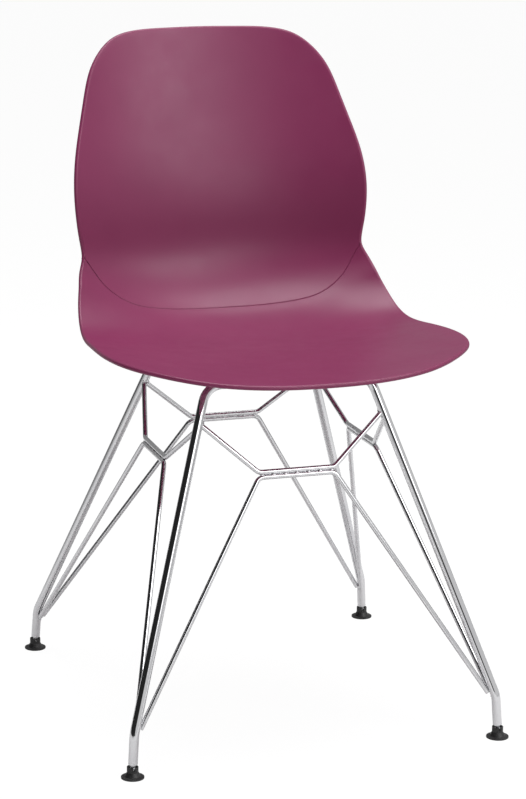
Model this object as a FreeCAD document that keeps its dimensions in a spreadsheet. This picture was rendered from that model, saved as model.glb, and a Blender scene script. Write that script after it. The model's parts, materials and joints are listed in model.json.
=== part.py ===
import FreeCAD
import Part
import Sketcher
import math
import os

V = FreeCAD.Vector

doc = FreeCAD.newDocument("ShellChair")
sizes = doc.addObject("Spreadsheet::Sheet", "Sizes")

# Driving dimensions in millimetres and degrees

dimensions = {
    # Whole chair: middle of the leg frame, and the top of the back
    "frame_centre_y": -7.23,
    "back_height": 800.0,
    # Leg hoops
    "leg_diameter": 11.0,
    "foot_spread_width": 452.4,
    "foot_spread_depth": 470.4,
    "lower_bend_half_width": 223.5,
    "lower_bend_half_depth": 233.0,
    "lower_bend_height": 52.0,
    "front_bar_half_width": 101.0,
    "rear_bar_half_width": 94.5,
    "bar_half_depth": 107.0,
    "bar_height": 424.0,
    "lower_bend_radius": 30.0,
    "bar_bend_radius": 26.0,
    # Brace rods
    "brace_diameter": 6.0,
    "front_half_flat": 47.0,
    "rear_half_flat": 44.5,
    "side_half_flat": 47.0,
    "front_contact_height": 321.0,
    "rear_contact_height": 318.3,
    "side_contact_height": 320.6,
    "front_upper_height": 383.0,
    "rear_upper_height": 376.0,
    "side_upper_height": 376.0,
    "front_tip_height": 55.0,
    "rear_tip_height": 45.0,
    "brace_tip_gap": 0.3,
    "brace_bend_radius": 11.0,
    "weld_sink": 0.4,
    # Mounting tabs, pads and screws
    "tab_thickness": 3.0,
    "tab_width": 24.0,
    "tab_half_spacing": 58.0,
    "screw_offset": 15.0,
    "pad_thickness": 3.0,
    "pad_diameter": 22.0,
    "screw_diameter": 6.0,
    "screw_clearance": 0.3,
    "screw_head_diameter": 10.5,
    "screw_head_height": 3.3,
    "screw_key_width": 4.0,
    "screw_key_depth": 1.8,
    "washer_diameter": 12.5,
    "washer_thickness": 1.2,
    "insert_diameter": 8.6,
    "insert_length": 6.0,
    "boss_diameter": 20.0,
    # Feet
    "ball_height": 9.0,
    "ball_diameter": 9.0,
    "socket_clearance": 0.12,
    "stud_neck_diameter": 4.6,
    "stud_collar_diameter": 7.6,
    "stud_collar_height": 1.6,
    "stud_collar_gap": 0.3,
    "stud_shank_diameter": 6.0,
    "stud_shank_length": 12.0,
    "shank_clearance": 0.06,
    "shank_end_gap": 0.6,
    "leg_end_gap": 7.2,
    "sole_diameter": 27.0,
    "sole_thickness": 2.4,
    "skirt_diameter": 19.0,
    "skirt_height": 4.6,
    "neck_diameter": 13.4,
    "neck_height": 13.4,
    "neck_mouth_diameter": 10.6,
    "neck_lip_height": 11.2,
    "finger_slot_width": 1.6,
    "finger_slot_depth": 3.6,
    # Shell
    "shell_thickness": 5.5,
    "blank_half_width": 238.0,
    "blank_sections": 20,
    "waist_half_width": 182.0,
    "waist_height": 532.5,
    "rim_radius": 2.4,
    "crease_radius": 0.8,
    "crease_inset": 4.0,
    "crease_view_tilt": 48.7,
}

# Side profile of the sitting surface: depth, height and dish radius of each seat station
seat_stations = [
    ("nose", -262.0, 450.2, 1300.0),
    ("front", -215.0, 450.1, 1300.0),
    ("thigh", -150.0, 449.0, 1300.0),
    ("pan_front", -80.0, 446.5, 1300.0),
    ("pan", -15.0, 442.4, 1300.0),
    ("pan_rear", 45.0, 439.2, 1180.0),
    ("turn_low", 95.0, 442.3, 638.0),
    ("turn", 140.0, 455.7, 410.0),
    ("turn_high", 174.0, 487.8, 386.0),
    ("waist", 190.0, 523.0, 385.0),
]

# The same for the back, with each height as a share of the rise from the waist to the top
back_stations = [
    ("lumbar", 194.8, 0.125, 392.0),
    ("mid_back", 203.0, 0.312, 392.0),
    ("shoulder", 222.0, 0.551, 392.0),
    ("upper_back", 243.0, 0.806, 392.0),
    ("over_top", 268.5, 1.120, 392.0),
]

# Seat outline seen from above, from the waist round to the middle of the front edge:
# half width and depth of each point
seat_outline = [
    ("wing", 192.2, 126.0),
    ("wing_low", 202.6, 88.5),
    ("side_rear", 210.8, 35.0),
    ("side", 217.2, -21.0),
    ("widest", 221.6, -80.0),
    ("side_front", 219.2, -119.0),
    ("corner_side", 206.2, -158.5),
    ("corner", 179.0, -191.0),
    ("corner_front", 138.5, -220.6),
    ("front_side", 90.0, -235.8),
    ("front_edge", 0.0, -240.2),
]

# Back outline seen from the front, from the waist up to the middle of the top edge:
# half width and share of the rise of each point
back_outline = [
    ("hip", 186.0, 0.110),
    ("widest_back", 189.4, 0.275),
    ("rib", 185.7, 0.428),
    ("shoulder_low", 176.6, 0.566),
    ("shoulder_high", 165.6, 0.708),
    ("temple", 154.0, 0.828),
    ("top_corner", 139.0, 0.907),
    ("top_round", 118.0, 0.965),
    ("top_side", 88.0, 0.995),
    ("top_edge", 0.0, 1.0),
]

# Crease where the back's outline runs on over the seat, in a view tilted down onto it:
# half width and distance up the tilted view
crease_outline = [
    ("crease_side", 168.5, 481.0),
    ("crease_bend", 157.0, 465.5),
    ("crease_corner", 140.0, 451.5),
    ("crease_foot", 121.0, 442.6),
    ("crease_flat", 92.0, 439.0),
    ("crease_middle", 0.0, 440.8),
]

for station, depth, height, dish in seat_stations + back_stations:
    dimensions["profile_" + station + "_depth"] = depth
    dimensions["profile_" + station + "_height"] = height
    dimensions["profile_" + station + "_dish"] = dish
for label, half_width, reach in seat_outline + back_outline + crease_outline:
    dimensions["outline_" + label + "_half_width"] = half_width
    dimensions["outline_" + label + "_reach"] = reach

for row, (alias, value) in enumerate(dimensions.items(), 1):
    sizes.set("A%d" % row, alias)
    sizes.set("B%d" % row, str(value))
    sizes.setAlias("B%d" % row, alias)
doc.recompute()


def size(alias):
    return float(sizes.get(alias))


def bind(item, **expressions):
    for path, expression in expressions.items():
        item.setExpression(path.replace("__", "."), expression)
    return item


def place(item, x="0", y="0", z="0"):
    # Positions are given from the middle of the leg frame, on the floor
    return bind(
        item,
        Placement__Base__x=x,
        Placement__Base__y="Sizes.frame_centre_y + " + y,
        Placement__Base__z=z,
    )


def at(x, y, z):
    return V(x, y + size("frame_centre_y"), z)


def cylinder(name, diameter, height):
    item = doc.addObject("Part::Cylinder", name)
    return bind(item, Radius="(" + diameter + ") / 2", Height=height)


def cut(name, base, tool):
    item = doc.addObject("Part::Cut", name)
    item.Base = base
    item.Tool = tool
    return item


def fuse(name, shapes):
    item = doc.addObject("Part::MultiFuse", name)
    item.Shapes = shapes
    return item


def group(name, shapes):
    item = doc.addObject("Part::Compound", name)
    item.Links = shapes
    return item


nodes = []


def node(item, label):
    item.Label = label
    nodes.append(item)
    return item


# Bent rods: straight runs joined by tangent arcs, with a round section

def bent_path(corners, radii):
    edges = []
    start = corners[0]
    for before, corner, after, radius in zip(corners, corners[1:], corners[2:], radii):
        inward = (corner - before).normalize()
        outward = (after - corner).normalize()
        turn = inward.getAngle(outward)
        run = radius * math.tan(turn / 2)
        first = corner - inward * run
        last = corner + outward * run
        toward = (outward - inward).normalize()
        middle = corner + toward * (radius / math.cos(turn / 2) - radius)
        edges.append(Part.LineSegment(start, first).toShape())
        edges.append(Part.Arc(first, middle, last).toShape())
        start = last
    edges.append(Part.LineSegment(start, corners[-1]).toShape())
    return Part.Wire(edges)


def bent_rod(name, corners, radii, diameter):
    path = doc.addObject("Part::Feature", name + "_path")
    path.Shape = bent_path(corners, radii)
    section = doc.addObject("Part::Circle", name + "_section")
    bind(section, Radius=diameter + " / 2")
    direction = corners[1] - corners[0]
    section.Placement = FreeCAD.Placement(corners[0], FreeCAD.Rotation(V(0, 0, 1), direction))
    rod = doc.addObject("Part::Sweep", name + "_rod")
    rod.Sections = [section]
    rod.Spine = (path, ["Edge%d" % (i + 1) for i in range(len(path.Shape.Edges))])
    rod.Solid = True
    rod.Frenet = False
    return rod


# Foot axis: from the ball of the glide up to the lower bend of the leg

def ball_centre(side, end):
    across = side * size("foot_spread_width") / 2
    return at(across, end * size("foot_spread_depth") / 2, size("ball_height"))


def lower_bend(side, end):
    across = side * size("lower_bend_half_width")
    return at(across, end * size("lower_bend_half_depth"), size("lower_bend_height"))


def foot_direction(side, end):
    return (lower_bend(side, end) - ball_centre(side, end)).normalize()


def leg_end(side, end):
    return ball_centre(side, end) + foot_direction(side, end) * size("leg_end_gap")


def bar_half_width(end):
    return size("front_bar_half_width") if end < 0 else size("rear_bar_half_width")


def bar_corner(side, end):
    return at(side * bar_half_width(end), end * size("bar_half_depth"), size("bar_height"))


# Leg hoops: one rod makes both legs of an end and the bar across under the seat

def stud_bore(name, side, end):
    bore = cylinder(
        name,
        "Sizes.stud_shank_diameter + 2 * Sizes.shank_clearance",
        "Sizes.stud_shank_length + Sizes.shank_end_gap + Sizes.stud_collar_gap",
    )
    turn = FreeCAD.Rotation(V(0, 0, 1), foot_direction(side, end))
    bore.Placement = FreeCAD.Placement(leg_end(side, end), turn)
    return bore


ends = [("front", -1), ("rear", 1)]
sides = [("left", -1), ("right", 1)]
corners = [
    (end_name + "_" + side_name, side, end)
    for end_name, end in ends
    for side_name, side in sides
]

hoops = {}
for end_name, end in ends:
    path = [leg_end(-1, end), lower_bend(-1, end), bar_corner(-1, end)]
    path += [bar_corner(1, end), lower_bend(1, end), leg_end(1, end)]
    low = size("lower_bend_radius")
    high = size("bar_bend_radius")
    rod = bent_rod(end_name + "_hoop", path, [low, high, high, low], "Sizes.leg_diameter")
    bores = fuse(
        end_name + "_bores",
        [
            stud_bore(end_name + "_" + side_name + "_bore", side, end)
            for side_name, side in sides
        ],
    )
    hoops[end] = node(cut(end_name + "_hoop_bored", rod, bores), end_name + "_leg_hoop")


# Braces: an upper and a lower rod between each two neighbouring legs, lying one on the
# other in the middle

def leg_share(height):
    rise = size("bar_height") - size("lower_bend_height")
    return (height - size("lower_bend_height")) / rise


def half_depth(height):
    reach = size("bar_half_depth") - size("lower_bend_half_depth")
    return size("lower_bend_half_depth") + reach * leg_share(height)


def half_width(height, end):
    reach = bar_half_width(end) - size("lower_bend_half_width")
    return size("lower_bend_half_width") + reach * leg_share(height)


def brace_corner(facing, sign, across, height):
    # A point in the plane of the two legs that a brace joins
    if facing == "end":
        return at(across, sign * half_depth(height), height)
    front = half_width(height, -1)
    rear = half_width(height, 1)
    share = (1 + across / half_depth(height)) / 2
    return at(sign * (front + (rear - front) * share), across, height)


def leg_axis(side, end, height):
    # Centre of a leg at a height, along its straight runs
    if height > size("lower_bend_height"):
        return at(side * half_width(height, end), end * half_depth(height), height)
    bend = lower_bend(side, end)
    share = (bend.z - height) / (bend.z - size("ball_height"))
    return bend + (ball_centre(side, end) - bend) * share


def lower_tip(facing, side, end):
    # The two rods at a foot lie side by side on the inner corner of the leg
    reach = (size("leg_diameter") + size("brace_diameter")) / 2 - size("weld_sink")
    apart = math.asin((size("brace_diameter") + size("brace_tip_gap")) / 2 / reach)
    swing = math.radians(45) - apart
    beside = reach * math.cos(swing)
    inward = reach * math.sin(swing)
    height = size("front_tip_height") if end < 0 else size("rear_tip_height")
    centre = leg_axis(side, end, height)
    if facing == "end":
        return centre - V(side * beside, end * inward, 0)
    return centre - V(side * inward, end * beside, 0)


def brace_path(facing, sign, level, family):
    flat = size(family + "_half_flat")
    run = size("lower_bend_half_depth") - size("bar_half_depth")
    slope = run / (size("bar_height") - size("lower_bend_height"))
    lift = size("brace_diameter") / 2 / math.sqrt(1 + slope * slope)
    if level == "upper":
        height = size(family + "_upper_height")
        reaches = [-half_depth(height), half_depth(height)]
        if facing == "end":
            reaches = [-half_width(height, sign), half_width(height, sign)]
        tips = [brace_corner(facing, sign, across, height) for across in reaches]
        flat_height = size(family + "_contact_height") + lift
    else:
        tips = [lower_tip(facing, sign, end) for end in (-1, 1)]
        if facing == "end":
            tips = [lower_tip(facing, side, sign) for side in (-1, 1)]
        flat_height = size(family + "_contact_height") - lift
    return [
        tips[0],
        brace_corner(facing, sign, -flat, flat_height),
        brace_corner(facing, sign, flat, flat_height),
        tips[1],
    ]


both_hoops = fuse("both_hoops", [hoops[-1], hoops[1]])
bend = size("brace_bend_radius")
for facing, sign, place_name, family in [
    ("end", -1, "front", "front"),
    ("end", 1, "rear", "rear"),
    ("side", -1, "left", "side"),
    ("side", 1, "right", "side"),
]:
    for level in ["upper", "lower"]:
        label = place_name + "_" + level + "_brace"
        path = brace_path(facing, sign, level, family)
        rod = bent_rod(label, path, [bend, bend], "Sizes.brace_diameter")
        node(cut(label + "_coped", rod, both_hoops), label)


# Mounting tabs: plates welded on the bars, each with a screw hole beside the bar

tab_floor = "(Sizes.bar_height + Sizes.leg_diameter / 2)"
pad_floor = "(" + tab_floor + " + Sizes.tab_thickness)"
boss_floor = "(" + pad_floor + " + Sizes.pad_thickness)"
hole = "Sizes.screw_diameter + 2 * Sizes.screw_clearance"


def screw_y(end):
    return "%d * (Sizes.bar_half_depth - Sizes.screw_offset)" % end


def screw_x(side):
    return "%d * Sizes.tab_half_spacing" % side


def stand(item, side, end, z):
    return place(item, screw_x(side), screw_y(end), z)


for corner_name, side, end in corners:
    arm = doc.addObject("Part::Box", corner_name + "_tab_arm")
    bind(
        arm,
        Length="Sizes.tab_width",
        Width="Sizes.screw_offset + Sizes.leg_diameter / 2",
        Height="Sizes.tab_thickness",
    )
    arm_x = screw_x(side) + " - Sizes.tab_width / 2"
    if end < 0:
        arm_y = "-(Sizes.bar_half_depth + Sizes.leg_diameter / 2)"
    else:
        arm_y = "(Sizes.bar_half_depth - Sizes.screw_offset)"
    place(arm, arm_x, arm_y, tab_floor)
    eye = cylinder(corner_name + "_tab_eye", "Sizes.tab_width", "Sizes.tab_thickness")
    stand(eye, side, end, tab_floor)
    drill = cylinder(corner_name + "_tab_hole", hole, "Sizes.tab_thickness")
    stand(drill, side, end, tab_floor)
    plate = fuse(corner_name + "_tab_plate", [arm, eye])
    node(cut(corner_name + "_tab", plate, drill), corner_name + "_mounting_tab")

# Pads: rubber rings between the tabs and the bosses of the shell

for corner_name, side, end in corners:
    disc = cylinder(corner_name + "_pad_disc", "Sizes.pad_diameter", "Sizes.pad_thickness")
    stand(disc, side, end, pad_floor)
    drill = cylinder(corner_name + "_pad_hole", hole, "Sizes.pad_thickness")
    stand(drill, side, end, pad_floor)
    node(cut(corner_name + "_pad_ring", disc, drill), corner_name + "_pad")

# Screws, washers and threaded inserts: four of each

washers = []
screws = []
inserts = []
washer_floor = "(" + tab_floor + " - Sizes.washer_thickness)"
for corner_name, side, end in corners:
    disc = cylinder(
        corner_name + "_washer_disc", "Sizes.washer_diameter", "Sizes.washer_thickness"
    )
    stand(disc, side, end, washer_floor)
    drill = cylinder(corner_name + "_washer_hole", hole, "Sizes.washer_thickness")
    stand(drill, side, end, washer_floor)
    washers.append(cut(corner_name + "_washer", disc, drill))

    head = cylinder(
        corner_name + "_screw_head", "Sizes.screw_head_diameter", "Sizes.screw_head_height"
    )
    stand(head, side, end, washer_floor + " - Sizes.screw_head_height")
    grip = "Sizes.washer_thickness + Sizes.tab_thickness + Sizes.pad_thickness"
    shank = cylinder(
        corner_name + "_screw_shank", "Sizes.screw_diameter", grip + " + Sizes.insert_length"
    )
    stand(shank, side, end, washer_floor)
    key = doc.addObject("Part::Prism", corner_name + "_screw_key")
    bind(key, Circumradius="Sizes.screw_key_width / sqrt(3)", Height="Sizes.screw_key_depth")
    stand(key, side, end, washer_floor + " - Sizes.screw_head_height")
    body = fuse(corner_name + "_screw_body", [head, shank])
    screws.append(cut(corner_name + "_screw", body, key))

    sleeve = cylinder(
        corner_name + "_insert_sleeve", "Sizes.insert_diameter", "Sizes.insert_length"
    )
    stand(sleeve, side, end, boss_floor)
    thread = cylinder(corner_name + "_insert_thread", "Sizes.screw_diameter", "Sizes.insert_length")
    stand(thread, side, end, boss_floor)
    inserts.append(cut(corner_name + "_insert", sleeve, thread))

node(group("washer_group", washers), "screw_washers")
node(group("screw_group", screws), "mounting_screws")
node(group("insert_group", inserts), "threaded_inserts")


# Ball studs: a shank in the leg end, a collar under it, a neck and a ball

def along_foot(item, side, end, distance):
    direction = foot_direction(side, end)
    centre = ball_centre(side, end) + direction * distance
    item.Placement = FreeCAD.Placement(centre, FreeCAD.Rotation(V(0, 0, 1), direction))
    return item


for corner_name, side, end in corners:
    ball = doc.addObject("Part::Sphere", corner_name + "_ball")
    bind(ball, Radius="Sizes.ball_diameter / 2")
    along_foot(ball, side, end, 0)
    collar_top = size("leg_end_gap") - size("stud_collar_gap")
    neck = cylinder(
        corner_name + "_stud_neck",
        "Sizes.stud_neck_diameter",
        "Sizes.leg_end_gap - Sizes.stud_collar_gap",
    )
    along_foot(neck, side, end, 0)
    collar = cylinder(
        corner_name + "_stud_collar", "Sizes.stud_collar_diameter", "Sizes.stud_collar_height"
    )
    along_foot(collar, side, end, collar_top - size("stud_collar_height"))
    shank = cylinder(
        corner_name + "_stud_shank",
        "Sizes.stud_shank_diameter",
        "Sizes.stud_shank_length + Sizes.stud_collar_gap",
    )
    along_foot(shank, side, end, collar_top)
    node(fuse(corner_name + "_stud", [ball, neck, collar, shank]), corner_name + "_ball_stud")


# Glides: a flat round sole with a coned skirt, and a slotted neck that snaps over the ball

def sketch_on(body, name, role):
    sketch = body.newObject("Sketcher::SketchObject", name)
    plane = [f for f in body.Origin.OriginFeatures if f.Role == role][0]
    sketch.AttachmentSupport = (plane, "")
    sketch.MapMode = "FlatFace"
    return sketch


def pin(sketch, edge, point, across, up):
    # Ties one end of an edge to the sketch's origin by two bound distances
    for kind, expression in [("DistanceX", across), ("DistanceY", up)]:
        value = float(sketch.evalExpression(expression))
        index = sketch.addConstraint(Sketcher.Constraint(kind, -1, 1, edge, point, value))
        sketch.setExpression("Constraints[%d]" % index, expression)


socket_radius = "(Sizes.ball_diameter / 2 + Sizes.socket_clearance)"
lip_rise = "(Sizes.neck_lip_height - Sizes.ball_height)"
lip_radius = "sqrt(" + socket_radius + "^2 - " + lip_rise + "^2)"


def glide_profile(body, name):
    sketch = sketch_on(body, name, "XZ_Plane")
    outline = [
        ("0", "0"),
        ("Sizes.sole_diameter / 2", "0"),
        ("Sizes.sole_diameter / 2", "Sizes.sole_thickness * 0.6"),
        ("Sizes.skirt_diameter / 2", "Sizes.sole_thickness"),
        ("Sizes.neck_diameter / 2", "Sizes.sole_thickness + Sizes.skirt_height"),
        ("Sizes.neck_diameter / 2", "Sizes.neck_height"),
        ("Sizes.neck_mouth_diameter / 2", "Sizes.neck_height"),
        (lip_radius, "Sizes.neck_lip_height"),
    ]
    spots = [
        V(float(sketch.evalExpression(x)), float(sketch.evalExpression(y)), 0)
        for x, y in outline
    ]
    for first, last in zip(spots, spots[1:]):
        sketch.addGeometry(Part.LineSegment(first, last))
    for edge in range(len(spots) - 2):
        sketch.addConstraint(Sketcher.Constraint("Coincident", edge, 2, edge + 1, 1))
    sketch.addConstraint(Sketcher.Constraint("Coincident", 0, 1, -1, 1))
    for edge, (across, up) in enumerate(outline[1:]):
        pin(sketch, edge, 2, across, up)
    ball_z = size("ball_height")
    radius = size("ball_diameter") / 2 + size("socket_clearance")
    lip = spots[-1]
    bottom = V(0, ball_z - radius, 0)
    arc = Part.Arc(bottom, V(radius, ball_z, 0), lip)
    sketch.addGeometry(arc)
    arc_edge = len(spots) - 1
    sketch.addConstraint(Sketcher.Constraint("Coincident", arc_edge, 2, arc_edge - 1, 2))
    sketch.addGeometry(Part.LineSegment(bottom, V(0, 0, 0)))
    floor_edge = arc_edge + 1
    sketch.addConstraint(Sketcher.Constraint("Coincident", arc_edge, 1, floor_edge, 1))
    sketch.addConstraint(Sketcher.Constraint("Coincident", floor_edge, 2, 0, 1))
    pin(sketch, arc_edge, 3, "0", "Sizes.ball_height")
    sketch.addConstraint(Sketcher.Constraint("PointOnObject", floor_edge, 1, -2))
    return sketch


def finger_slots(body, name):
    sketch = sketch_on(body, name, "XY_Plane")
    half_slot = "Sizes.finger_slot_width / 2"
    reach = "Sizes.sole_diameter / 2"
    spots = [
        ("-" + reach, "-" + half_slot),
        (reach, "-" + half_slot),
        (reach, half_slot),
        ("-" + reach, half_slot),
    ]
    places = [
        V(float(sketch.evalExpression(x)), float(sketch.evalExpression(y)), 0)
        for x, y in spots
    ]
    for edge in range(4):
        sketch.addGeometry(Part.LineSegment(places[edge], places[(edge + 1) % 4]))
    for edge in range(4):
        sketch.addConstraint(Sketcher.Constraint("Coincident", edge, 2, (edge + 1) % 4, 1))
    for edge in range(4):
        pin(sketch, edge, 1, *spots[edge])
    bind(sketch, AttachmentOffset__Base__z="Sizes.neck_height - Sizes.finger_slot_depth")
    return sketch


for corner_name, side, end in corners:
    body = doc.addObject("PartDesign::Body", corner_name + "_glide_body")
    profile = glide_profile(body, corner_name + "_glide_profile")
    turned = body.newObject("PartDesign::Revolution", corner_name + "_glide_turned")
    turned.Profile = profile
    turned.ReferenceAxis = (profile, ["V_Axis"])
    turned.Angle = 360
    doc.recompute()
    slots = finger_slots(body, corner_name + "_finger_slots")
    slot = body.newObject("PartDesign::Pocket", corner_name + "_slot")
    slot.Profile = slots
    slot.Type = "Length"
    slot.Reversed = True
    bind(slot, Length="Sizes.finger_slot_depth")
    doc.recompute()
    ring = body.newObject("PartDesign::PolarPattern", corner_name + "_slots")
    ring.Originals = [slot]
    ring.Axis = (profile, ["V_Axis"])
    ring.Angle = 360
    ring.Occurrences = 4
    body.Tip = ring
    place(
        body,
        "%d * Sizes.foot_spread_width / 2" % side,
        "%d * Sizes.foot_spread_depth / 2" % end,
        "0",
    )
    node(body, corner_name + "_glide")


# Sitting surface: dished arcs along the side profile, joined by a loft

def rise_share(share):
    return size("waist_height") + share * (size("back_height") - size("waist_height"))


profile_points = []
for station, depth, height, dish in seat_stations:
    depth = size("profile_" + station + "_depth")
    profile_points.append(at(0, depth, size("profile_" + station + "_height")))
for station, depth, share, dish in back_stations:
    depth = size("profile_" + station + "_depth")
    profile_points.append(at(0, depth, rise_share(size("profile_" + station + "_height"))))
dish_radii = [size("profile_" + entry[0] + "_dish") for entry in seat_stations + back_stations]

runs = [0.0]
for before, after in zip(profile_points, profile_points[1:]):
    runs.append(runs[-1] + (after - before).Length)
profile_curve = Part.BSplineCurve()
profile_curve.interpolate(Points=profile_points, Parameters=runs)
dish_curve = Part.BSplineCurve()
dish_points = [V(dish, run, 0) for dish, run in zip(dish_radii, runs)]
dish_curve.interpolate(Points=dish_points, Parameters=runs)

arcs = []
section_count = int(size("blank_sections"))
for index in range(section_count + 1):
    run = runs[-1] * index / section_count
    point = profile_curve.value(run)
    normal = V(1, 0, 0).cross(profile_curve.tangent(run)[0])
    dish = dish_curve.value(run).x
    swing = math.asin(size("blank_half_width") / dish)
    reach = V(1, 0, 0) * (dish * math.sin(swing))
    rise = normal * (dish - dish * math.cos(swing))
    arc = doc.addObject("Part::Feature", "dish_arc_%d" % index)
    arc.Shape = Part.Arc(point - reach + rise, point, point + reach + rise).toShape()
    arcs.append(arc)
surface = doc.addObject("Part::Loft", "sitting_surface")
surface.Sections = arcs
surface.Solid = False
doc.recompute()
sitting_face = surface.Shape.Faces[0]


# Outline: points of the seat found from above and of the back found from the front, joined
# by one closed curve on the surface

def on_surface(start, end):
    line = Part.LineSegment(start, end).toShape()
    return sitting_face.distToShape(line)[1][0][0]


def below_waist(across, depth):
    return on_surface(at(across, depth, 0), at(across, depth, size("waist_height")))


def above_waist(across, height):
    behind = size("profile_over_top_depth") * 2
    return on_surface(at(across, 0, height), at(across, behind, height))


def outline(entry):
    return size("outline_" + entry[0] + "_half_width"), size("outline_" + entry[0] + "_reach")


def mirrored(points):
    # The last point lies on the middle line and isn't repeated
    return points + [V(-p.x, p.y, p.z) for p in reversed(points[:-1])]


def surface_curve(points, closed):
    places = [sitting_face.Surface.parameter(p) for p in points]
    curve = Part.Geom2d.BSplineCurve2d()
    curve.interpolate(
        Points=[FreeCAD.Base.Vector2d(*p) for p in places], PeriodicFlag=closed
    )
    return curve.toShape(sitting_face.Surface)


waist = above_waist(size("waist_half_width"), size("waist_height"))
seat_half = [waist] + [below_waist(*outline(entry)) for entry in seat_outline]
back_half = []
for entry in back_outline:
    across, share = outline(entry)
    back_half.append(above_waist(across, rise_share(share)))
ring = mirrored(seat_half) + mirrored(back_half)[:: -1]
skin = doc.addObject("Part::Feature", "shell_skin")
skin_face = Part.Face(sitting_face.Surface, Part.Wire([surface_curve(ring, True)]))
skin_face.validate()
skin.Shape = skin_face

blank = doc.addObject("Part::Offset", "shell_blank")
blank.Source = skin
blank.Fill = True
bind(blank, Value="-Sizes.shell_thickness")
doc.recompute()

rounded = doc.addObject("Part::Fillet", "shell_rounded")
rounded.Base = blank
rim = size("rim_radius")
rounded.Edges = [
    (index, rim, rim)
    for index, edge in enumerate(blank.Shape.Edges, 1)
    if edge.Length > size("back_height")
]


# Bosses under the seat, bored for the threaded inserts

bosses = []
bores = []
boss_bottom = size("bar_height") + size("leg_diameter") / 2
boss_bottom += size("tab_thickness") + size("pad_thickness")
for corner_name, side, end in corners:
    depth = end * (size("bar_half_depth") - size("screw_offset"))
    top = below_waist(size("tab_half_spacing"), depth).z - size("shell_thickness") / 2
    boss = doc.addObject("Part::Cylinder", corner_name + "_boss")
    bind(boss, Radius="Sizes.boss_diameter / 2")
    boss.Height = top - boss_bottom
    stand(boss, side, end, boss_floor)
    bosses.append(boss)
    bore = cylinder(corner_name + "_boss_bore", "Sizes.insert_diameter", "Sizes.insert_length")
    stand(bore, side, end, boss_floor)
    bores.append(bore)

bossed = fuse("shell_bossed", [rounded] + bosses)
bored = cut("shell_bored", bossed, fuse("boss_bores", bores))


# Crease: a fine round groove where the outline of the back runs on across the seat

tilt = math.radians(size("crease_view_tilt"))
up = V(0, math.cos(tilt), math.sin(tilt))
view = V(0, -math.sin(tilt), math.cos(tilt)) * size("back_height")
crease_half = [above_waist(waist.x - size("crease_inset"), waist.z)]
for entry in crease_outline:
    across, reach = outline(entry)
    middle = at(across, 0, 0) + up * reach
    crease_half.append(on_surface(middle - view, middle + view))
crease_path = doc.addObject("Part::Feature", "crease_path")
crease_edge = surface_curve(mirrored(crease_half), False)
crease_path.Shape = crease_edge
cutter = doc.addObject("Part::Circle", "crease_section")
bind(cutter, Radius="Sizes.crease_radius")
start = crease_edge.valueAt(crease_edge.FirstParameter)
direction = crease_edge.tangentAt(crease_edge.FirstParameter)
outward = sitting_face.Surface.normal(*sitting_face.Surface.parameter(start))
turn = FreeCAD.Rotation(outward, V(), direction, "ZXY")
cutter.Placement = FreeCAD.Placement(start, turn)
groove = doc.addObject("Part::Sweep", "crease_groove")
groove.Sections = [cutter]
groove.Spine = (crease_path, ["Edge1"])
groove.Solid = True
groove.Frenet = False
node(cut("shell_creased", bored, groove), "seat_shell")

doc.recompute()

for item in doc.Objects:
    if "Invalid" in item.State or "Error" in item.State:
        raise RuntimeError("failed: " + item.Name + " " + str(item.State))
for item in nodes:
    if item.Shape.isNull() or not item.Shape.isValid():
        raise RuntimeError("bad shape: " + item.Label)

os.makedirs("parts", exist_ok=True)
for item in nodes:
    item.Shape.exportStep("parts/" + item.Label + ".step")
    print(item.Label, len(item.Shape.Solids), round(item.Shape.Volume, 1))

whole = Part.makeCompound([item.Shape for item in nodes]).BoundBox
print("box", whole)
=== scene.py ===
import json
import math

import bpy
import numpy as np
from mathutils import Matrix, Vector


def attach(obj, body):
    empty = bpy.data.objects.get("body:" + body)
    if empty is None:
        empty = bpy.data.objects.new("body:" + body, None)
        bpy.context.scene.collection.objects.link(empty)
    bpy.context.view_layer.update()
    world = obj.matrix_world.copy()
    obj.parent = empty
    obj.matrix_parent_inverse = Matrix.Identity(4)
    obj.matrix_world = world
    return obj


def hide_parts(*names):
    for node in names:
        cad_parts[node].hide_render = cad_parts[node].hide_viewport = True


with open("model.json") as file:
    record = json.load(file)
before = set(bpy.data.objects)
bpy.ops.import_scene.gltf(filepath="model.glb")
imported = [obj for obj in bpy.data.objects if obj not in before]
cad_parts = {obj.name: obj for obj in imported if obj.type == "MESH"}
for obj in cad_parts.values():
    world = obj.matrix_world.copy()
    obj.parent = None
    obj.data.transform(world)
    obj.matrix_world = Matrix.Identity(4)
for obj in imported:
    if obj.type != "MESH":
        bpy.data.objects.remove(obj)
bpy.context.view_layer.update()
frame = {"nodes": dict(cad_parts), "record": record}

mm = 0.001
degree = math.pi / 180
frameCentreY = -7.23  # mm, depth of the middle of the leg frame
print("frame loaded")


# node helpers

def newTree(owner):
    owner.use_nodes = True
    owner.node_tree.nodes.clear()
    return owner.node_tree


def addNode(tree, kind, settings=None, values=None):
    node = tree.nodes.new(kind)
    for name, value in (settings or {}).items():
        setattr(node, name, value)
    for name, value in (values or {}).items():
        node.inputs[name].default_value = value
    return node


def link(tree, source, output, target, name):
    tree.links.new(source.outputs[output], target.inputs[name])


# the usual range of a noise is spread over the whole range of a look
finishForm = {
    "noiseRoughness": 0.55, "usualNoise": (0.3, 0.7), "cloudDetail": 3, "smearDetail": 4,
    "grainDetail": 2, "ior": 1.5,
}


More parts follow.
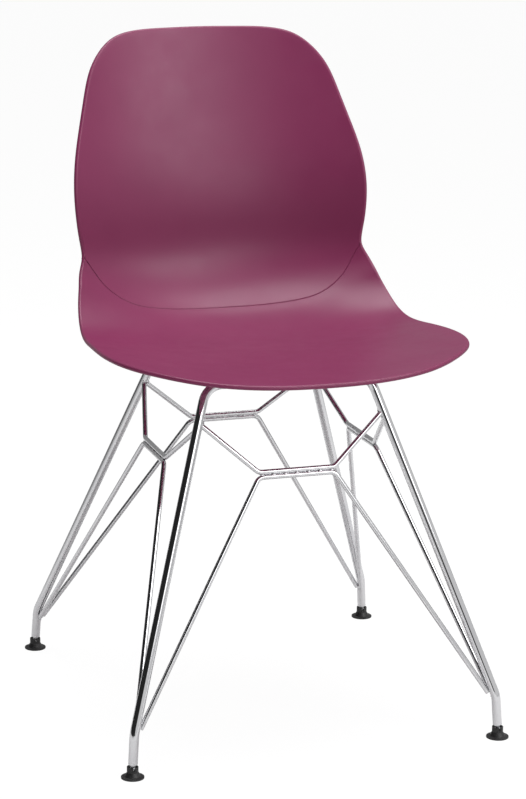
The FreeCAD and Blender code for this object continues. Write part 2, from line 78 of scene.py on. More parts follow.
def finishMaterial(name, look):
    material = bpy.data.materials.new(name)
    tree = newTree(material)
    shader = addNode(tree, "ShaderNodeBsdfPrincipled")
    output = addNode(tree, "ShaderNodeOutputMaterial")
    link(tree, shader, "BSDF", output, "Surface")
    place = addNode(tree, "ShaderNodeTexCoord")

    def noise(scale, detail):
        node = addNode(
            tree, "ShaderNodeTexNoise", None,
            {"Scale": scale, "Detail": detail, "Roughness": finishForm["noiseRoughness"]},
        )
        link(tree, place, "Object", node, "Vector")
        return node

    def spread(source, low, high):
        least, most = finishForm["usualNoise"]
        node = addNode(
            tree, "ShaderNodeMapRange", None,
            {"From Min": least, "From Max": most, "To Min": low, "To Max": high},
        )
        link(tree, source, "Fac", node, "Value")
        return node

    colours = addNode(tree, "ShaderNodeMix", {"data_type": "RGBA"})
    # the colour sockets of a Mix node share their names with its number sockets
    colourSockets = [s for s in colours.inputs if s.type == "RGBA"]
    colourSockets[0].default_value = (*look["dark"], 1)
    colourSockets[1].default_value = (*look["light"], 1)
    clouds = spread(noise(look["cloudScale"], finishForm["cloudDetail"]), 0, 1)
    tree.links.new(clouds.outputs["Result"], colours.inputs[0])
    mixed = [s for s in colours.outputs if s.type == "RGBA"][0]
    tree.links.new(mixed, shader.inputs["Base Color"])

    sheen = spread(noise(look["smearScale"], finishForm["smearDetail"]), *look["roughness"])
    link(tree, sheen, "Result", shader, "Roughness")

    bump = addNode(
        tree, "ShaderNodeBump", None, {"Strength": look["bump"], "Distance": look["grainDepth"]}
    )
    grain = noise(look["grainScale"], finishForm["grainDetail"])
    link(tree, grain, "Fac", bump, "Height")
    link(tree, bump, "Normal", shader, "Normal")

    shader.inputs["Metallic"].default_value = look["metallic"]
    shader.inputs["Specular IOR Level"].default_value = look["specular"]
    shader.inputs["IOR"].default_value = finishForm["ior"]
    return material


looks = {
    "shellPlastic": {
        "dark": (0.182, 0.021, 0.076), "light": (0.198, 0.025, 0.084), "cloudScale": 9,
        "smearScale": 30, "roughness": (0.35, 0.43), "grainScale": 2600, "bump": 0.12,
        "grainDepth": 0.0002, "metallic": 0, "specular": 0.36,
    },
    "chromedRod": {
        "dark": (0.62, 0.62, 0.64), "light": (0.69, 0.69, 0.70), "cloudScale": 14,
        "smearScale": 60, "roughness": (0.04, 0.09), "grainScale": 420, "bump": 0.02,
        "grainDepth": 0.0001, "metallic": 1, "specular": 0.5,
    },
    "blackNylon": {
        "dark": (0.010, 0.010, 0.011), "light": (0.020, 0.020, 0.021), "cloudScale": 60,
        "smearScale": 120, "roughness": (0.42, 0.58), "grainScale": 2400, "bump": 0.25,
        "grainDepth": 0.0002, "metallic": 0, "specular": 0.5,
    },
    "blackRubber": {
        "dark": (0.014, 0.014, 0.014), "light": (0.028, 0.028, 0.028), "cloudScale": 40,
        "smearScale": 90, "roughness": (0.68, 0.85), "grainScale": 1500, "bump": 0.3,
        "grainDepth": 0.0002, "metallic": 0, "specular": 0.5,
    },
    "zincSteel": {
        "dark": (0.46, 0.47, 0.49), "light": (0.58, 0.58, 0.59), "cloudScale": 120,
        "smearScale": 300, "roughness": (0.24, 0.38), "grainScale": 1800, "bump": 0.1,
        "grainDepth": 0.0001, "metallic": 1, "specular": 0.5,
    },
    "turnedBrass": {
        "dark": (0.60, 0.42, 0.16), "light": (0.74, 0.55, 0.24), "cloudScale": 150,
        "smearScale": 300, "roughness": (0.22, 0.36), "grainScale": 1800, "bump": 0.1,
        "grainDepth": 0.0001, "metallic": 1, "specular": 0.5,
    },
}
materials = {name: finishMaterial(name, look) for name, look in looks.items()}
print("materials made")

slotMaterials = {
    "shell": "shellPlastic", "rod": "chromedRod", "tab": "chromedRod", "pad": "blackRubber",
    "screw": "zincSteel", "insert": "turnedBrass", "stud": "zincSteel", "glide": "blackNylon",
}
for part in frame["record"]["subparts"]:
    nodeObject = frame["nodes"][part["node"]]
    nodeObject.data.materials.clear()
    nodeObject.data.materials.append(materials[slotMaterials[part["material_slot"]]])


# shell

shellForm = {
    "thickness": 5.5,
    "columns": 300,
    "seatRows": 56,
    "backRows": 56,
    "rimSteps": 12,
    "creaseTilt": 48.7,
    "grooveDepth": 0.95,
    "grooveSteps": [(0.35, 0.86), (0.7, 0.30), (1.05, 0.04), (1.6, 0.0)],
    # every step stays within this share of a row that is short near the waist
    "grooveShare": 0.06,
    # the groove is nothing where a row is this short, and full after this much more
    "grooveFade": (4, 14),
    "waist": (182.0, 532.5),
    # sections at which the searches for the crease and for the back begin
    "creaseFrom": 3,
    "backFrom": 7,
    "backSlack": 20,
    # depth, height and dish radius of each section along the middle line
    "stations": [
        (-262.0, 450.2, 1300.0), (-215.0, 450.1, 1300.0), (-150.0, 449.0, 1300.0),
        (-80.0, 446.5, 1300.0), (-15.0, 442.4, 1300.0), (45.0, 439.2, 1180.0),
        (95.0, 442.3, 638.0), (140.0, 455.7, 410.0), (174.0, 487.8, 386.0),
        (190.0, 523.0, 385.0), (194.8, 566.0, 392.0), (203.0, 616.0, 392.0),
        (222.0, 680.0, 392.0), (243.0, 748.0, 392.0), (268.5, 832.0, 392.0),
    ],
    # half width and depth, from the wing to the middle of the front edge
    "seatOutline": [
        (187.4, 136.0), (196.0, 112.0), (202.6, 88.5), (210.8, 35.0), (217.2, -21.0),
        (221.6, -80.0), (219.2, -119.0), (206.2, -158.5), (179.0, -191.0), (138.5, -220.6),
        (90.0, -235.8), (0.0, -240.2),
    ],
    # half width and height, from the hip to the middle of the top edge
    "backOutline": [
        (186.0, 562.0), (189.4, 606.0), (185.7, 647.0), (176.6, 684.0), (165.6, 722.0),
        (154.0, 754.0), (139.0, 775.0), (118.0, 790.6), (88.0, 797.6), (48.0, 799.0),
        (0.0, 799.4),
    ],
    # half width and reach up the tilted view, from the side to the middle of the crease
    "creaseOutline": [
        (168.5, 481.0), (157.0, 465.5), (140.0, 451.5), (121.0, 442.6), (92.0, 439.0),
        (0.0, 440.8),
    ],
}


# how finely the shell is worked out
searchForm = {
    "halvings": 44, "steepest": 0.99, "finePoints": 4000, "probe": 0.05, "overlap": 3,
    "shortest": 1e-6,
}


def splineThrough(knots, values, closed=False):
    # second derivatives of a cubic through the values, natural or closed
    knots = np.asarray(knots, float)
    values = np.asarray(values, float).reshape(len(knots), -1)
    count = len(knots)
    steps = np.diff(knots)
    system = np.zeros((count, count))
    right = np.zeros(values.shape)
    for i in range(1, count - 1):
        system[i, i - 1] = steps[i - 1]
        system[i, i] = 2 * (steps[i - 1] + steps[i])
        system[i, i + 1] = steps[i]
        right[i] = 6 * (
            (values[i + 1] - values[i]) / steps[i] - (values[i] - values[i - 1]) / steps[i - 1]
        )
    if closed:
        system[0, 0] = 2 * (steps[0] + steps[-1])
        system[0, 1] = steps[0]
        system[0, -2] = steps[-1]
        right[0] = 6 * (
            (values[1] - values[0]) / steps[0] - (values[-1] - values[-2]) / steps[-1]
        )
        system[-1, 0] = 1
        system[-1, -1] = -1
    else:
        system[0, 0] = 1
        system[-1, -1] = 1
    bends = np.linalg.solve(system, right)

    def evaluate(at, order=0):
        at = np.asarray(at, float)
        i = np.clip(np.searchsorted(knots, at, side="right") - 1, 0, count - 2)
        h = steps[i][..., None]
        a = (knots[i + 1] - at)[..., None]
        b = (at - knots[i])[..., None]
        if order == 1:
            slope = (values[i + 1] - values[i]) / h
            return slope - bends[i] * (a * a / (2 * h) - h / 6) + bends[i + 1] * (
                b * b / (2 * h) - h / 6
            )
        return (
            bends[i] * a ** 3 / (6 * h) + bends[i + 1] * b ** 3 / (6 * h)
            + (values[i] / h - bends[i] * h / 6) * a
            + (values[i + 1] / h - bends[i + 1] * h / 6) * b
        )

    return evaluate


def chordLengths(points):
    return np.concatenate([[0], np.cumsum(np.linalg.norm(np.diff(points, axis=0), axis=1))])


stations = np.array(shellForm["stations"])
stationRun = chordLengths(stations[:, :2])
profile = splineThrough(stationRun, stations)


def shellPoint(across, run, below=0.0):
    # a point of the dished surface, in mm, and its unit normal towards the sitter
    entry = profile(run)
    slope = profile(run, 1)
    length = np.hypot(slope[..., 0], slope[..., 1])
    up = np.stack(
        [np.zeros_like(length), -slope[..., 1] / length, slope[..., 0] / length], -1
    )
    middle = np.stack([np.zeros_like(length), entry[..., 0] + frameCentreY, entry[..., 1]], -1)
    dish = entry[..., 2]
    steepest = searchForm["steepest"]
    swing = np.arcsin(np.clip(across / dish, -steepest, steepest))[..., None]
    side = np.array([1.0, 0.0, 0.0])
    radial = side * np.sin(swing) - up * np.cos(swing)
    return middle + up * dish[..., None] + radial * (dish[..., None] + below), -radial


def findRun(across, measure, target, low, high):
    # how far up the middle line the measure reaches the target, by halving
    low = np.full(len(across), low)
    high = np.full(len(across), high)
    for _ in range(searchForm["halvings"]):
        half = (low + high) / 2
        short = measure(shellPoint(across, half)[0]) < target
        low = np.where(short, half, low)
        high = np.where(short, high, half)
    return (low + high) / 2


def ownDepth(points):
    return points[:, 1] - frameCentreY


def ownHeight(points):
    return points[:, 2]


tilt = math.radians(shellForm["creaseTilt"])


def tiltedReach(points):
    return ownDepth(points) * math.cos(tilt) + ownHeight(points) * math.sin(tilt)


waistAcross, waistHeight = shellForm["waist"]
backRun = stationRun[shellForm["backFrom"]]
creaseRun = stationRun[shellForm["creaseFrom"]]
endRun = stationRun[-1]
waistRun = findRun(np.array([waistAcross]), ownHeight, waistHeight, backRun, endRun)[0]


def domainPoints(table, measure, low, high):
    table = np.array(table)
    runs = findRun(table[:, 0], measure, table[:, 1], low, high)
    return np.stack([table[:, 0], runs], 1)


waistPoint = np.array([[waistAcross, waistRun]])
seatEdge = domainPoints(shellForm["seatOutline"], ownDepth, 0, waistRun)
lowestBack = waistRun - shellForm["backSlack"]
backEdge = domainPoints(shellForm["backOutline"], ownHeight, lowestBack, endRun)
creaseEdge = domainPoints(shellForm["creaseOutline"], tiltedReach, creaseRun, waistRun)


def mirrorHalf(points):
    return np.concatenate([points, points[:-1][::-1] * [-1, 1]])


# one closed outline: right waist, round the front to the left waist, over the top and back
seatHalf = mirrorHalf(np.concatenate([waistPoint, seatEdge]))
backHalf = mirrorHalf(np.concatenate([waistPoint, backEdge]))[::-1]
loop = np.concatenate([seatHalf, backHalf[1:]])
loopKnots = chordLengths(loop)
outline = splineThrough(loopKnots, loop, closed=True)
splitAt = loopKnots[len(seatHalf) - 1]


def evenly(curve, start, end, count):
    # points at even distances on the surface
    fine = curve(np.linspace(start, end, searchForm["finePoints"]))
    placed = shellPoint(fine[:, 0], fine[:, 1])[0]
    run = chordLengths(placed)
    wanted = np.linspace(0, run[-1], count)
    return np.stack([np.interp(wanted, run, fine[:, 0]), np.interp(wanted, run, fine[:, 1])], 1)


columns = shellForm["columns"] + 1
frontLine = evenly(outline, 0, splitAt, columns)
backLine = evenly(outline, splitAt, loopKnots[-1], columns)[::-1]
creaseLoop = mirrorHalf(np.concatenate([waistPoint, creaseEdge]))
creaseKnots = chordLengths(creaseLoop)
creaseLine = evenly(splineThrough(creaseKnots, creaseLoop), 0, creaseKnots[-1], columns)


def insetLoop(line, amount):
    # moves an outline inwards over the surface by a real distance
    step = searchForm["probe"]
    points, normals = shellPoint(line[:, 0], line[:, 1])
    tangents = np.gradient(points, axis=0)
    tangents /= np.linalg.norm(tangents, axis=1)[:, None]
    outward = np.cross(normals, tangents)
    overAcross = (shellPoint(line[:, 0] + step, line[:, 1])[0] - points) / step
    overRun = (shellPoint(line[:, 0], line[:, 1] + step)[0] - points) / step
    moved = line.copy()
    for i in range(len(line)):
        basis = np.stack([overAcross[i], overRun[i]], 1)
        moved[i] -= np.linalg.lstsq(basis, outward[i] * amount, rcond=None)[0]
    return moved, outward


rimRadius = shellForm["thickness"] / 2
fullLoop = np.concatenate([frontLine, backLine[::-1][1:-1]])
overlap = searchForm["overlap"]
wrapped = np.concatenate([fullLoop[-overlap:], fullLoop, fullLoop[:overlap]])
insetAll, outwardAll = insetLoop(wrapped, rimRadius)
insetAll, outwardAll = insetAll[overlap:-overlap], outwardAll[overlap:-overlap]
frontInset = insetAll[:columns]
backInset = np.concatenate([[insetAll[0]], insetAll[columns:][::-1], [insetAll[columns - 1]]])
creaseLine[0] = insetAll[0]
creaseLine[-1] = insetAll[columns - 1]


def bridgeRows(start, end, rows):
    # shares from the crease to an outline, with fine rows at the groove
    first = shellPoint(start[:, 0], start[:, 1])[0]
    last = shellPoint(end[:, 0], end[:, 1])[0]
    length = np.maximum(np.linalg.norm(last - first, axis=1), searchForm["shortest"])
    made = []
    for k, (offset, share) in enumerate(shellForm["grooveSteps"]):
        made.append((np.minimum(offset / length, (k + 1) * shellForm["grooveShare"]), share))
    lastShare = made[-1][0]
    for k in range(1, rows + 1):
        ease = k / rows
        made.append((lastShare + (1 - lastShare) * ease, 0.0))
    gap, fadeLength = shellForm["grooveFade"]
    return made, np.clip((length - gap) / fadeLength, 0, 1)


def shellRows(end, rows):
    made, fade = bridgeRows(creaseLine, end, rows)
    placed = []
    for share, depth in made:
        across = creaseLine[:, 0] + (end[:, 0] - creaseLine[:, 0]) * share
        run = creaseLine[:, 1] + (end[:, 1] - creaseLine[:, 1]) * share
        placed.append((across, run, depth * fade))
    return placed, fade


seatPart, creaseFade = shellRows(frontInset, shellForm["seatRows"])
backPart, _ = shellRows(backInset, shellForm["backRows"])
middleRow = [(creaseLine[:, 0], creaseLine[:, 1], creaseFade)]
allRows = seatPart[::-1] + middleRow + backPart
topRows = []
lowRows = []
for across, run, depth in allRows:
    points, normals = shellPoint(across, run)
    topRows.append(points - normals * (depth * shellForm["grooveDepth"])[:, None])
    lowRows.append(shellPoint(across, run, shellForm["thickness"])[0])
topGrid = np.array(topRows)
lowGrid = np.array(lowRows)


def meshObject(name, points, faces, material):
    mesh = bpy.data.meshes.new(name)
    mesh.from_pydata([tuple(p * mm) for p in points], [], faces)
    mesh.validate()
    mesh.update()
    made = bpy.data.objects.new(name, mesh)
    bpy.context.scene.collection.objects.link(made)
    mesh.materials.append(materials[material])
    for polygon in mesh.polygons:
        polygon.use_smooth = True
    return made


def buildShell():
    points = []
    faces = []
    rows, count = topGrid.shape[:2]

    def gridIndex(start, row, column):
        # the first and the last column of every row meet at the waist
        if column == 0:
            return start
        if column == count - 1:
            return start + 1
        return start + 2 + row * (count - 2) + column - 1

    def addGrid(grid, flip):
        start = len(points)
        points.append(grid[:, 0].mean(0))
        points.append(grid[:, -1].mean(0))
        for row in range(rows):
            points.extend(grid[row, 1:-1])
        for row in range(rows - 1):
            for column in range(count - 1):
                corner = [
                    gridIndex(start, row, column), gridIndex(start, row, column + 1),
                    gridIndex(start, row + 1, column + 1), gridIndex(start, row + 1, column),
                ]
                face = list(dict.fromkeys(corner))
                if len(face) > 2:
                    faces.append(face[::-1] if flip else face)
        return start

    topStart = addGrid(topGrid, True)
    lowStart = addGrid(lowGrid, False)

    def loopOf(start):
        front = [gridIndex(start, 0, column) for column in range(count)]
        back = [gridIndex(start, rows - 1, column) for column in range(count - 2, 0, -1)]
        return front + back

    topLoop = loopOf(topStart)
    lowLoop = loopOf(lowStart)
    steps = shellForm["rimSteps"]
    rings = [topLoop]
    for k in range(1, steps):
        angle = math.pi * k / steps
        ring = []
        for i, (a, b) in enumerate(zip(topLoop, lowLoop)):
            middle = (points[a] + points[b]) / 2
            rise = (points[a] - points[b]) / 2
            ring.append(len(points))
            points.append(
                middle + rise * math.cos(angle) + outwardAll[i] * (rimRadius * math.sin(angle))
            )
        rings.append(ring)
    rings.append(lowLoop)
    for upper, lower in zip(rings, rings[1:]):
        for i in range(len(upper)):
            j = (i + 1) % len(upper)
            faces.append([upper[i], upper[j], lower[j], lower[i]])
    return points, faces


shellPoints, shellFaces = buildShell()

bossForm = {
    "across": 58.0, "depth": 92.0, "bottom": 435.5, "radius": 10.0, "bore": 4.3,
    "boreDepth": 6.0, "sink": 2.5, "sides": 48, "edge": 0.5,
}


def addBoss(points, faces, across, depth):
    sides = bossForm["sides"]
    run = findRun(np.array([across]), ownDepth, depth, 0, waistRun)
    top = shellPoint(np.array([across]), run)[0][0][2] - bossForm["sink"]
    floor = bossForm["bottom"]
    roof = floor + bossForm["boreDepth"]
    radius, bore, edge = bossForm["radius"], bossForm["bore"], bossForm["edge"]
    outlineOfBoss = [
        (0.0, top), (radius, top), (radius, floor + edge), (radius - edge, floor),
        (bore, floor), (bore, roof), (0.0, roof),
    ]
    rings = []
    for reach, height in outlineOfBoss:
        if reach == 0:
            rings.append([len(points)])
            points.append(np.array([across, depth + frameCentreY, height]))
            continue
        rings.append(list(range(len(points), len(points) + sides)))
        for k in range(sides):
            angle = 2 * math.pi * k / sides
            x = across + reach * math.cos(angle)
            y = depth + frameCentreY + reach * math.sin(angle)
            points.append(np.array([x, y, height]))
    for first, second in zip(rings, rings[1:]):
        for k in range(sides):
            a, b = first[k % len(first)], first[(k + 1) % len(first)]
            c, d = second[(k + 1) % len(second)], second[k % len(second)]
            face = list(dict.fromkeys([a, d, c, b]))
            if len(face) > 2:
                faces.append(face)


for sideSign in (-1, 1):
    for endSign in (-1, 1):
        addBoss(
            shellPoints, shellFaces, sideSign * bossForm["across"], endSign * bossForm["depth"]
        )

shell = meshObject("shell_surface", shellPoints, shellFaces, "shellPlastic")
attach(shell, "root")
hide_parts("seat_shell")
print("shell made", len(shell.data.polygons))


# weld beads, laid by one tree along the seams of the base

baseForm = {
    "bend": (223.5, 233.0, 52.0), "bar": {-1: 101.0, 1: 94.5}, "barDepth": 107.0,
    "barHeight": 424.0, "footSpread": (226.2, 235.2, 9.0), "legRadius": 5.5, "rodRadius": 3.0,
    "tipHeight": {-1: 55.0, 1: 45.0},
    # contact height, half length of the doubled run and height of the upper ends
    "front": (321.0, 47.0, 383.0), "rear": (318.3, 44.5, 376.0), "side": (320.6, 47.0, 376.0),
}
beadForm = {
    "seam": {"spacing": 13.0, "length": 3.6, "radius": 1.0},
    "joint": {"spacing": 1.9, "length": 1.5, "radius": 1.25},
    "spread": 0.28, "seed": 5, "sides": 10, "rings": 7,
    # a seam runs this share of the rod's radius off its middle and stops this far from its ends
    "grooveShare": 0.62, "seamEnd": 4,
    # beads at a brace's lower tip: heights about the tip, and how far out of the leg
    "tipLifts": (-5.5, -2.0, 2.0, 5.5), "tipOut": 0.4,
    # beads round an upper end: degrees of the arc, depth in the leg and in the rod
    "ringTurns": (-150, 31, 20), "ringInLeg": 0.2, "ringInRod": 0.3,
}


def legPoint(side, end, height):
    bendX, bendY, bendZ = baseForm["bend"]
    footX, footY, footZ = baseForm["footSpread"]
    if height < bendZ:
        share = (bendZ - height) / (bendZ - footZ)
        across, depth = bendX + (footX - bendX) * share, bendY + (footY - bendY) * share
    else:
        share = (height - bendZ) / (baseForm["barHeight"] - bendZ)
        across = bendX + (baseForm["bar"][end] - bendX) * share
        depth = bendY + (baseForm["barDepth"] - bendY) * share
    return np.array([side * across, end * depth + frameCentreY, height])


def seamLines():
    lines = []
    groove = baseForm["rodRadius"] * beadForm["grooveShare"]
    gap = beadForm["seamEnd"]
    for end, name in ((-1, "front"), (1, "rear")):
        height, half, _ = baseForm[name]
        depth = legPoint(1, end, height)[1]
        for out in (-groove, groove):
            lines.append([(reach, depth + out, height) for reach in (gap - half, half - gap)])
    height, half, _ = baseForm["side"]
    front, rear = legPoint(1, -1, height), legPoint(1, 1, height)
    for side in (-1, 1):
        for out in (-groove, groove):
            line = []
            for reach in (gap - half, half - gap):
                share = (reach + frameCentreY - front[1]) / (rear[1] - front[1])
                across = front[0] + (rear[0] - front[0]) * share
                line.append((side * across + out, reach + frameCentreY, height))
            lines.append(line)
    return lines


def jointLines():
    lines = []
    tipReach = baseForm["legRadius"] + beadForm["tipOut"]
    ringReach = baseForm["legRadius"] - beadForm["ringInLeg"]
    ringRadius = baseForm["rodRadius"] - beadForm["ringInRod"]
    for side in (-1, 1):
        for end in (-1, 1):
            height = baseForm["tipHeight"][end]
            inner = np.array([-side, -end, 0]) / math.sqrt(2)
            line = []
            for lift in beadForm["tipLifts"]:
                line.append(tuple(legPoint(side, end, height + lift) + inner * tipReach))
            lines.append(line)
            faceTop = baseForm["front" if end < 0 else "rear"][2]
            sideTop = baseForm["side"][2]
            for along, top in (((-side, 0, 0), faceTop), ((0, -end, 0), sideTop)):
                centre = legPoint(side, end, top) + np.array(along) * ringReach
                level = np.cross(along, (0, 0, 1))
                line = []
                for turn in range(*beadForm["ringTurns"]):
                    angle = turn * degree
                    swing = level * math.cos(angle) + np.array([0, 0, math.sin(angle)])
                    line.append(tuple(centre + swing * ringRadius))
                lines.append(line)
    return lines


def beadTree():
    tree = bpy.data.node_groups.new("weldBeads", "GeometryNodeTree")
    tree.interface.new_socket("Geometry", in_out="INPUT", socket_type="NodeSocketGeometry")
    for name in ("Spacing", "Length", "Radius", "Spread"):
        tree.interface.new_socket(name, in_out="INPUT", socket_type="NodeSocketFloat")
    tree.interface.new_socket("Seed", in_out="INPUT", socket_type="NodeSocketInt")
    tree.interface.new_socket("Material", in_out="INPUT", socket_type="NodeSocketMaterial")
    tree.interface.new_socket("Geometry", in_out="OUTPUT", socket_type="NodeSocketGeometry")
    given = addNode(tree, "NodeGroupInput")
    toCurve = addNode(tree, "GeometryNodeMeshToCurve")
    link(tree, given, "Geometry", toCurve, "Mesh")
    spaced = addNode(tree, "GeometryNodeResampleCurve", {"mode": "LENGTH"})
    link(tree, toCurve, "Curve", spaced, "Curve")
    link(tree, given, "Spacing", spaced, "Length")
    bead = addNode(
        tree, "GeometryNodeMeshUVSphere", None,
        {"Segments": beadForm["sides"], "Rings": beadForm["rings"], "Radius": 1.0},
    )
    tangent = addNode(tree, "GeometryNodeInputTangent")
    aligned = addNode(tree, "FunctionNodeAlignRotationToVector", {"axis": "X"})
    link(tree, tangent, "Tangent", aligned, "Vector")
    low = addNode(tree, "ShaderNodeMath", {"operation": "SUBTRACT"})
    low.inputs[0].default_value = 1.0
    link(tree, given, "Spread", low, 1)
    chance = addNode(tree, "FunctionNodeRandomValue", {"data_type": "FLOAT"})
    tree.links.new(low.outputs[0], chance.inputs[2])
    chance.inputs[3].default_value = 1.0
    link(tree, given, "Seed", chance, "Seed")
    sizes = addNode(tree, "ShaderNodeCombineXYZ")
    link(tree, given, "Length", sizes, "X")
    link(tree, given, "Radius", sizes, "Y")
    link(tree, given, "Radius", sizes, "Z")
    scaled = addNode(tree, "ShaderNodeVectorMath", {"operation": "SCALE"})
    link(tree, sizes, "Vector", scaled, "Vector")
    tree.links.new(chance.outputs[1], scaled.inputs["Scale"])
    placed = addNode(tree, "GeometryNodeInstanceOnPoints")
    link(tree, spaced, "Curve", placed, "Points")
    link(tree, bead, "Mesh", placed, "Instance")
    link(tree, aligned, "Rotation", placed, "Rotation")
    link(tree, scaled, "Vector", placed, "Scale")
    real = addNode(tree, "GeometryNodeRealizeInstances")
    link(tree, placed, "Instances", real, "Geometry")
    smooth = addNode(tree, "GeometryNodeSetShadeSmooth")
    link(tree, real, "Geometry", smooth, "Geometry")
    dressed = addNode(tree, "GeometryNodeSetMaterial")
    link(tree, smooth, "Geometry", dressed, "Geometry")
    link(tree, given, "Material", dressed, "Material")
    output = addNode(tree, "NodeGroupOutput")
    link(tree, dressed, "Geometry", output, "Geometry")
    return tree


def layBeads(name, lines, form):
    points = []
    edges = []
    for line in lines:
        start = len(points)
        points.extend(tuple(value * mm for value in point) for point in line)
        edges.extend((start + i, start + i + 1) for i in range(len(line) - 1))
    mesh = bpy.data.meshes.new(name + "_lines")
    mesh.from_pydata(points, edges, [])
    guide = bpy.data.objects.new(name + "_lines", mesh)
    bpy.context.scene.collection.objects.link(guide)
    modifier = guide.modifiers.new("beads", "NODES")
    modifier.node_group = beads
    values = {
        "Spacing": form["spacing"] * mm, "Length": form["length"] * mm,
        "Radius": form["radius"] * mm, "Spread": beadForm["spread"], "Seed": beadForm["seed"],
        "Material": materials["chromedRod"],
    }
    for item in beads.interface.items_tree:
        if item.in_out == "INPUT" and item.name in values:
            modifier[item.identifier] = values[item.name]
    bpy.context.view_layer.update()
    graph = bpy.context.evaluated_depsgraph_get()
    made = bpy.data.meshes.new_from_object(guide.evaluated_get(graph))
    guide.modifiers.remove(modifier)
    bpy.data.objects.remove(guide)
    made.name = name
    piece = bpy.data.objects.new(name, made)
    bpy.context.scene.collection.objects.link(piece)
    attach(piece, "root")
    print(name, len(made.polygons))


beads = beadTree()
layBeads("seam_welds", seamLines(), beadForm["seam"])
layBeads("joint_welds", jointLines(), beadForm["joint"])


# stage

# metres across; the camera sees this share of the floor as a plain glow
stageForm = {"size": 60.0, "floorColour": 0.86, "showThrough": 0.88, "whiteness": 1.06}


def buildFloor():
    half = stageForm["size"] / 2
    corners = [(-half, -half, 0), (half, -half, 0), (half, half, 0), (-half, half, 0)]
    mesh = bpy.data.meshes.new("floor")
    mesh.from_pydata(corners, [], [(0, 1, 2, 3)])
    mesh.update()
    made = bpy.data.objects.new("floor", mesh)
    bpy.context.scene.collection.objects.link(made)
    material = bpy.data.materials.new("paleFloor")
    tree = newTree(material)
    grey = stageForm["floorColour"]
    matt = addNode(tree, "ShaderNodeBsdfDiffuse", None, {"Color": (grey, grey, grey, 1)})
    glow = addNode(tree, "ShaderNodeEmission", None, {"Strength": stageForm["whiteness"]})
    seen = addNode(tree, "ShaderNodeLightPath")
    share = addNode(tree, "ShaderNodeMath", {"operation": "MULTIPLY"})
    link(tree, seen, "Is Camera Ray", share, 0)
    share.inputs[1].default_value = stageForm["showThrough"]
    mix = addNode(tree, "ShaderNodeMixShader")
    link(tree, share, "Value", mix, "Fac")
    tree.links.new(matt.outputs["BSDF"], mix.inputs[1])
    tree.links.new(glow.outputs["Emission"], mix.inputs[2])
    output = addNode(tree, "ShaderNodeOutputMaterial")
    link(tree, mix, "Shader", output, "Surface")
    mesh.materials.append(material)


buildFloor()

# the dark card stands up and to the left of the camera and shows only in glossy pieces;
# angles are in degrees, from the chair's front round to its right, and up from level
worldForm = {
    "fill": 0.42, "seen": 1.0, "mirror": 0.95, "card": 0.03,
    "cardSides": (-142.0, -7.0), "cardHeights": (-3.0, 75.0), "softness": 5.0,
    # the room dims to this share between these depths of the direction looked in
    "behind": (0.1, 0.8), "behindShare": 0.42,
}


def buildWorld():
    world = bpy.data.worlds.new("studio")
    bpy.context.scene.world = world
    tree = newTree(world)
    fill = addNode(tree, "ShaderNodeBackground", None, {"Strength": worldForm["fill"]})
    seen = addNode(tree, "ShaderNodeBackground", None, {"Strength": worldForm["seen"]})
    mirror = addNode(tree, "ShaderNodeBackground")
    path = addNode(tree, "ShaderNodeLightPath")
    place = addNode(tree, "ShaderNodeTexCoord")
    split = addNode(tree, "ShaderNodeSeparateXYZ")
    link(tree, place, "Generated", split, "Vector")

    def combine(operation, first, second=None):
        node = addNode(tree, "ShaderNodeMath", {"operation": operation})
        for index, value in enumerate((first, second)):
            if isinstance(value, float):
                node.inputs[index].default_value = value
            elif value is not None:
                tree.links.new(value, node.inputs[index])
        return node.outputs[0]

    def band(angle, limits):
        soft = worldForm["softness"]
        edges = []
        for limit, sign in zip(limits, (1, -1)):
            start, stop = (limit - sign * soft) * degree, (limit + sign * soft) * degree
            edge = addNode(
                tree, "ShaderNodeMapRange", {"interpolation_type": "SMOOTHSTEP"},
                {"From Min": start, "From Max": stop},
            )
            tree.links.new(angle, edge.inputs["Value"])
            edges.append(edge.outputs["Result"])
        return combine("MULTIPLY", *edges)

    forward = combine("MULTIPLY", split.outputs["Y"], -1.0)
    around = combine("ARCTAN2", split.outputs["X"], forward)
    above = combine("ARCSINE", split.outputs["Z"])
    sides = band(around, worldForm["cardSides"])
    card = combine("MULTIPLY", sides, band(above, worldForm["cardHeights"]))
    shade = combine("MULTIPLY", card, worldForm["mirror"] - worldForm["card"])
    near, far = worldForm["behind"]
    rear = addNode(
        tree, "ShaderNodeMapRange", {"interpolation_type": "SMOOTHSTEP"},
        {"From Min": near, "From Max": far, "To Min": 1.0, "To Max": worldForm["behindShare"]},
    )
    link(tree, split, "Y", rear, "Value")
    bright = combine("SUBTRACT", worldForm["mirror"], shade)
    dimmed = combine("MULTIPLY", bright, rear.outputs["Result"])
    tree.links.new(dimmed, mirror.inputs["Strength"])
    first = addNode(tree, "ShaderNodeMixShader")
    link(tree, path, "Is Glossy Ray", first, "Fac")
    tree.links.new(fill.outputs["Background"], first.inputs[1])
    tree.links.new(mirror.outputs["Background"], first.inputs[2])
    second = addNode(tree, "ShaderNodeMixShader")
    link(tree, path, "Is Camera Ray", second, "Fac")
    tree.links.new(first.outputs["Shader"], second.inputs[1])
    tree.links.new(seen.outputs["Background"], second.inputs[2])
    output = addNode(tree, "ShaderNodeOutputWorld")
    link(tree, second, "Shader", output, "Surface")


buildWorld()

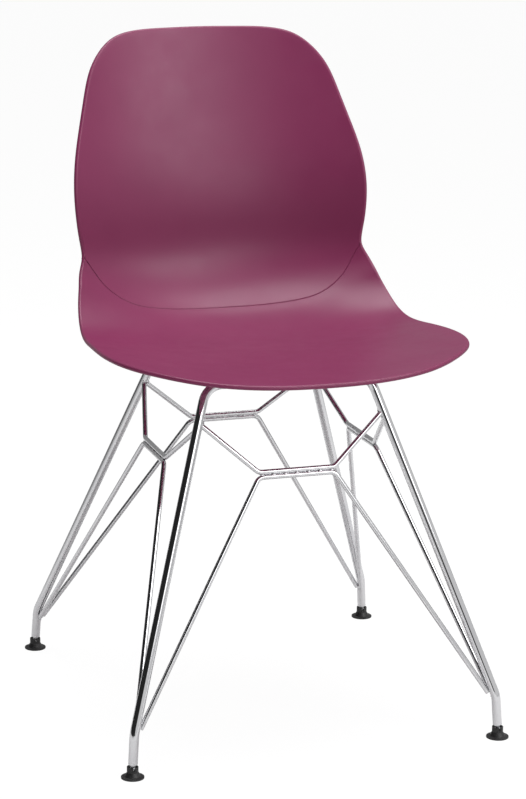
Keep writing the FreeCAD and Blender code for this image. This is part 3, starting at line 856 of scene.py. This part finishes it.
# metres and watts
lampForm = {
    "overhead": {
        "place": (0.2, 0.1, 2.6), "aim": (0.0, 0.0, 0.5), "size": (1.6, 1.6), "power": 48,
    },
    "key": {
        "place": (1.7, -2.1, 2.4), "aim": (0.0, 0.0, 0.5), "size": (1.4, 1.4), "power": 32,
    },
    "front": {
        "place": (0.8, -3.0, 1.7), "aim": (0.0, 0.0, 0.6), "size": (1.4, 1.0), "power": 12,
    },
}
for name, form in lampForm.items():
    data = bpy.data.lights.new(name, "AREA")
    data.shape = "RECTANGLE"
    data.size, data.size_y = form["size"]
    data.energy = form["power"]
    lamp = bpy.data.objects.new(name, data)
    lamp.location = form["place"]
    aim = Vector(form["aim"]) - Vector(form["place"])
    lamp.rotation_euler = aim.to_track_quat("-Z", "Y").to_euler()
    bpy.context.scene.collection.objects.link(lamp)
bpy.context.scene.view_settings.view_transform = "Standard"
print("stage made")


# camera

# pixels, degrees and mm; the camera aims at the leg frame at the height given, then slides
cameraForm = {
    "imageHeight": 799, "focalPixels": 2780.0, "sensor": 36.0, "azimuth": -18.38,
    "elevation": 14.10, "roll": 0.64, "distance": 3369.6, "slideRight": -3.54,
    "slideUp": 47.97, "height": 424.0,
}


def buildCamera():
    turn = math.radians(cameraForm["azimuth"])
    rise = math.radians(cameraForm["elevation"])
    roll = math.radians(cameraForm["roll"])
    back = Vector(
        (math.sin(turn) * math.cos(rise), -math.cos(turn) * math.cos(rise), math.sin(rise))
    )
    level = Vector((math.cos(turn), math.sin(turn), 0))
    up = back.cross(level)
    right = level * math.cos(roll) + up * math.sin(roll)
    up = up * math.cos(roll) - level * math.sin(roll)
    place = Vector((0, frameCentreY, cameraForm["height"])) - right * cameraForm["slideRight"]
    place += back * cameraForm["distance"] - up * cameraForm["slideUp"]
    data = bpy.data.cameras.new("camera")
    data.sensor_width = cameraForm["sensor"]
    data.lens = cameraForm["focalPixels"] * cameraForm["sensor"] / cameraForm["imageHeight"]
    made = bpy.data.objects.new("camera", data)
    turned = Matrix((right, up, back)).transposed().to_4x4()
    made.matrix_world = Matrix.Translation(place * mm) @ turned
    bpy.context.scene.collection.objects.link(made)
    bpy.context.scene.camera = made


buildCamera()

print("scene made")
